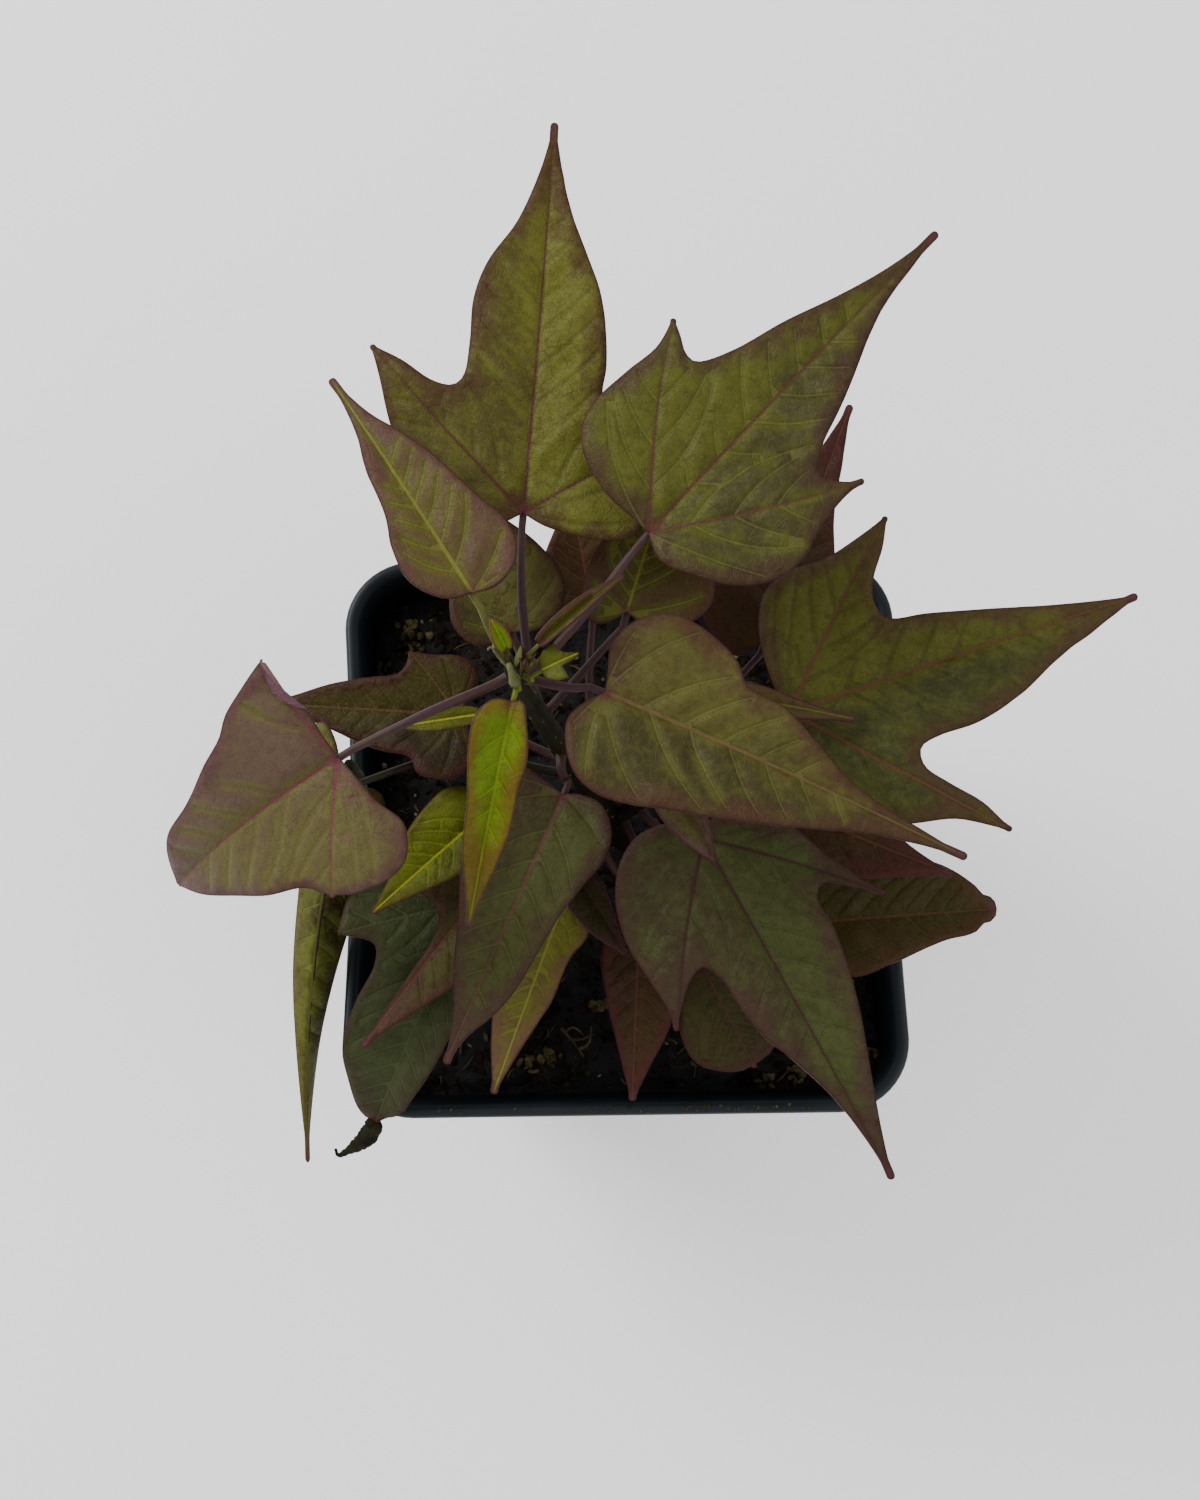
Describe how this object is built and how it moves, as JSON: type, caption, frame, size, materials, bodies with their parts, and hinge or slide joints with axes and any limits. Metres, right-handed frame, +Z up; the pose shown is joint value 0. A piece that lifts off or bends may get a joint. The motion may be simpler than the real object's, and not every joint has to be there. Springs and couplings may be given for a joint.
{
  "type": "potted sweet potato vine",
  "caption": "Young ornamental sweet potato vine with pointed purple-green lobed leaves, growing in a square black nursery pot.",
  "frame": {"origin": "centre of the pot's flat underside", "axes": "+Z up along the pot's height, -Y towards the front of the picture, +X to its right"},
  "size_m": [0.159, 0.1717, 0.1553],
  "materials": {
    "pot": "satin moulded black, cool sheen",
    "soil": "rough damp peat mix",
    "vine_stem": "satin green stem",
    "leaf_back": "satin leaf, olive",
    "leaf_back_right": "satin leaf, olive",
    "leaf_back_left": "satin leaf, mauve",
    "leaf_left": "satin leaf, mauve",
    "leaf_right": "satin leaf, brown green",
    "leaf_far_right": "satin leaf, olive",
    "leaf_front_right": "satin leaf, dark green",
    "leaf_front": "satin leaf, dark green",
    "leaf_young_bright": "satin leaf, bright green",
    "leaf_front_left": "satin leaf, dark green",
    "leaf_corner": "satin leaf, dull green",
    "leaf_side": "satin leaf, brown green",
    "leaf_mid_left": "satin leaf, red brown",
    "leaf_inner_back": "satin leaf, red brown",
    "leaf_inner_low": "satin leaf, red brown",
    "leaf_veined": "satin leaf, brown green",
    "leaf_dark": "satin leaf, red brown",
    "leaf_small_mid": "satin leaf, mauve",
    "leaf_small_low": "satin leaf, mauve",
    "leaf_bronze": "satin leaf, olive",
    "leaf_red_front": "satin leaf, red brown",
    "leaf_folded_front": "satin leaf, dull green",
    "leaf_low_right": "satin leaf, brown green",
    "leaf_under_right": "satin leaf, red brown",
    "leaf_small_right": "satin leaf, olive",
    "leaf_bright_left": "satin leaf, bright green",
    "leaf_thin": "satin leaf, bright green",
    "leaf_slender": "satin leaf, bright green",
    "leaf_tip_pointed": "satin leaf, bright green",
    "leaf_tip_lobed": "satin leaf, bright green"
  },
  "bodies": {
    "root": {"pot": "pot", "soil": "soil", "vine_stem": "vine_stem", "leaf_back": "leaf_back", "leaf_back_right": "leaf_back_right", "leaf_back_left": "leaf_back_left", "leaf_left": "leaf_left", "leaf_right": "leaf_right", "leaf_far_right": "leaf_far_right", "leaf_front_right": "leaf_front_right", "leaf_front": "leaf_front", "leaf_young_bright": "leaf_young_bright", "leaf_front_left": "leaf_front_left", "leaf_corner": "leaf_corner", "leaf_side": "leaf_side", "leaf_mid_left": "leaf_mid_left", "leaf_inner_back": "leaf_inner_back", "leaf_inner_low": "leaf_inner_low", "leaf_veined": "leaf_veined", "leaf_dark": "leaf_dark", "leaf_small_mid": "leaf_small_mid", "leaf_small_low": "leaf_small_low", "leaf_bronze": "leaf_bronze", "leaf_red_front": "leaf_red_front", "leaf_folded_front": "leaf_folded_front", "leaf_low_right": "leaf_low_right", "leaf_under_right": "leaf_under_right", "leaf_small_right": "leaf_small_right", "leaf_bright_left": "leaf_bright_left", "leaf_thin": "leaf_thin", "leaf_slender": "leaf_slender", "leaf_tip_pointed": "leaf_tip_pointed", "leaf_tip_lobed": "leaf_tip_lobed"}
  },
  "joints": []
}
